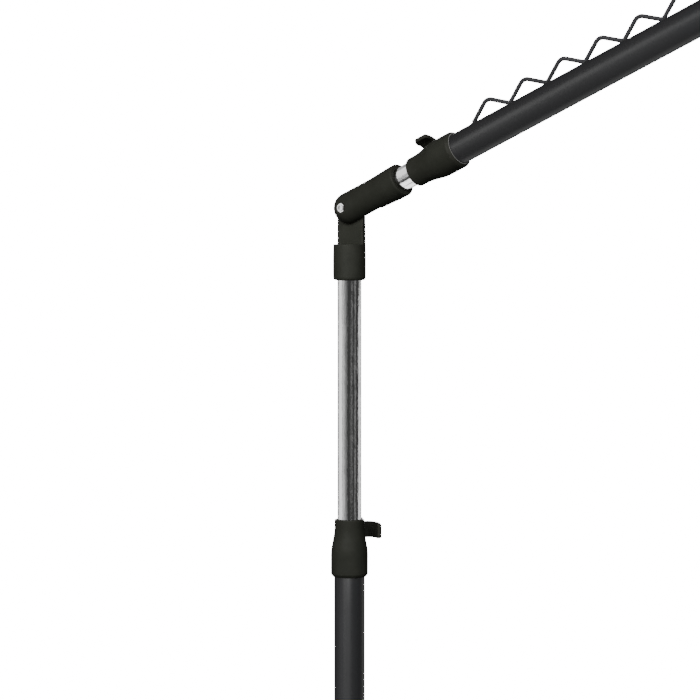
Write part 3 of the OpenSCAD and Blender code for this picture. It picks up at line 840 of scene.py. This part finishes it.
def around(az_right, elev, dist, z=1.2):
    """A point at an angle to the right of the camera's direction, seen from the column."""
    base_dir = math.atan2(-math.cos(math.radians(CAM_AZ)), math.sin(math.radians(CAM_AZ)))
    a = base_dir + math.radians(az_right)
    e = math.radians(elev)
    return (dist * math.cos(e) * math.cos(a), dist * math.cos(e) * math.sin(a), z + dist * math.sin(e))


def facing(name, pieces, lights):
    """Lights that only these pieces see, as a card held close to one part would do."""
    c = bpy.data.collections.new(name)
    for o in pieces:
        c.objects.link(o)
    for l in lights:
        l.light_linking.receiver_collection = c


def card(name, az, elev, width, height, level, dist=2.6, z=1.2, x=0.0):
    """A soft card: width and height in degrees seen from (x, 0, z), level as its brightness."""
    w = 2 * dist * math.tan(math.radians(width / 2)); h = 2 * dist * math.tan(math.radians(height / 2))
    at = Vector(around(az, elev, dist, z)) + Vector((x, 0, 0))
    return area(name, at, (x, 0, z), w, h, level * math.pi * w * h)


meshes = [o for o in bpy.data.objects if o.type == "MESH" and o.data.materials]
bright = [o for o in meshes if o.data.materials[0] in (MAT["chrome_tube"], MAT["bright_rivet"], MAT["zinc_steel"])]
dull = [o for o in meshes if o not in bright and not o.name.startswith("floor")]
column = [o for o in dull if o.name.startswith("column_tube")]
boom = [o for o in dull if o.name.startswith("boom_tube")]
upright = [o for o in dull if o.name.startswith(("column_tube", "leg", "foot"))]
slanted = [o for o in dull if o.name.startswith(("boom_tube", "boom_wire"))]
elbow = [o for o in dull if o.name.startswith("elbow_lower")]
ground = [o for o in meshes if o.name.startswith("floor")]

facing("shaped", [o for o in dull if o not in column and o not in boom], [
    card("key", -26, 24, 24, 20, 21.5, 3.0),
    card("front", 22, 16, 30, 20, 6.5, 3.2),
])
facing("dull", dull, [
    card("low_left", -70, -24, 30, 24, 0.9, 3.0),
    card("back", 180, 3, 44, 24, 7.0, 3.2),
])
facing("elbow", elbow, [card("flat", -38, 4, 16, 16, 6)])
facing("column", column, [
    card("column_front", -8, 6, 26, 26, 10),
    card("band", -37, 6, 9, 46, 7.5),
])
facing("upright", upright, [card("right_rim", 122, 0, 34, 60, 0.75)])
facing("boom", boom, [
    card("boom_front", -2, 2, 28, 28, 12.5, x=0.45, z=1.44),
    card("boom_band", -76, 1, 26, 26, 3.3, x=0.45, z=1.44),
])
facing("slanted", slanted, [card("under_rim", 150, -56, 60, 40, 0.8, x=0.45, z=1.44)])
facing("bright", bright, [
    card("left_card", -99, 2, 50, 70, 1.75),
    card("left_edge", -61, 2, 20, 60, 0.80),
    card("left_grey", -44, 2, 14, 60, 0.34),
    card("left_deep", -29, 2, 16, 60, 0.15),
    card("back_left", -148, 2, 40, 70, 0.55),
    card("back_right", 146, 2, 50, 70, 1.0),
    card("edge_right", 112, 2, 18, 70, 0.42),
    card("low_right", 106, -14, 22, 24, 1.1),
    card("thin_card", 22, 6, 7, 34, 0.26),
    card("low_thin", 9, -8, 5, 8, 0.16),
    card("right_card", 56, 2, 14, 50, 0.22),
    card("sky_card", -60, 66, 80, 50, 2.6),
    card("ground_card", -67, -66, 80, 34, 3.3),
    card("ground_back", 160, -62, 84, 46, 3.3),
])
facing("ground", ground, [area("floor_light", (0.6, -0.6, 3.2), (0, 0, 0), 3.4, 3.4, 700)])


def world():
    w = bpy.data.worlds.new("studio")
    bpy.context.scene.world = w
    w.use_nodes = True
    t = w.node_tree
    t.nodes.clear()
    out, mix = t.nodes.new("ShaderNodeOutputWorld"), t.nodes.new("ShaderNodeMixShader")
    plain, env = t.nodes.new("ShaderNodeBackground"), t.nodes.new("ShaderNodeBackground")
    lp, tc, sep = t.nodes.new("ShaderNodeLightPath"), t.nodes.new("ShaderNodeTexCoord"), t.nodes.new("ShaderNodeSeparateXYZ")
    t.links.new(tc.outputs["Generated"], sep.inputs[0])
    ramp = t.nodes.new("ShaderNodeValToRGB")
    e = ramp.color_ramp.elements
    e[0].position = 0.0; e[0].color = (0.09, 0.09, 0.09, 1)
    e[1].position = 1.0; e[1].color = (0.12, 0.12, 0.124, 1)
    m = e.new(0.5); m.color = (0.06, 0.06, 0.06, 1)
    mr = t.nodes.new("ShaderNodeMapRange")
    mr.inputs["From Min"].default_value = -1.0
    t.links.new(sep.outputs["Z"], mr.inputs["Value"])
    t.links.new(mr.outputs["Result"], ramp.inputs["Fac"])
    t.links.new(ramp.outputs["Color"], env.inputs["Color"])
    env.inputs["Strength"].default_value = 1.0
    plain.inputs["Color"].default_value = (1, 1, 1, 1)
    # pure white behind the main view, pale grey around it so that thin parts still show from other sides
    aim = t.nodes.new("ShaderNodeVectorMath")
    aim.operation = "DOT_PRODUCT"
    t.links.new(tc.outputs["Generated"], aim.inputs[0])
    aim.inputs[1].default_value = tuple(CAM_FWD)
    glow = t.nodes.new("ShaderNodeMapRange")
    glow.interpolation_type = "SMOOTHSTEP"
    glow.inputs["From Min"].default_value = 0.90; glow.inputs["From Max"].default_value = 0.975
    glow.inputs["To Min"].default_value = 2.6; glow.inputs["To Max"].default_value = 16.5
    t.links.new(aim.outputs["Value"], glow.inputs["Value"])
    t.links.new(glow.outputs["Result"], plain.inputs["Strength"])
    t.links.new(lp.outputs["Is Camera Ray"], mix.inputs[0])
    t.links.new(env.outputs[0], mix.inputs[1])
    t.links.new(plain.outputs[0], mix.inputs[2])
    t.links.new(mix.outputs[0], out.inputs[0])


world()
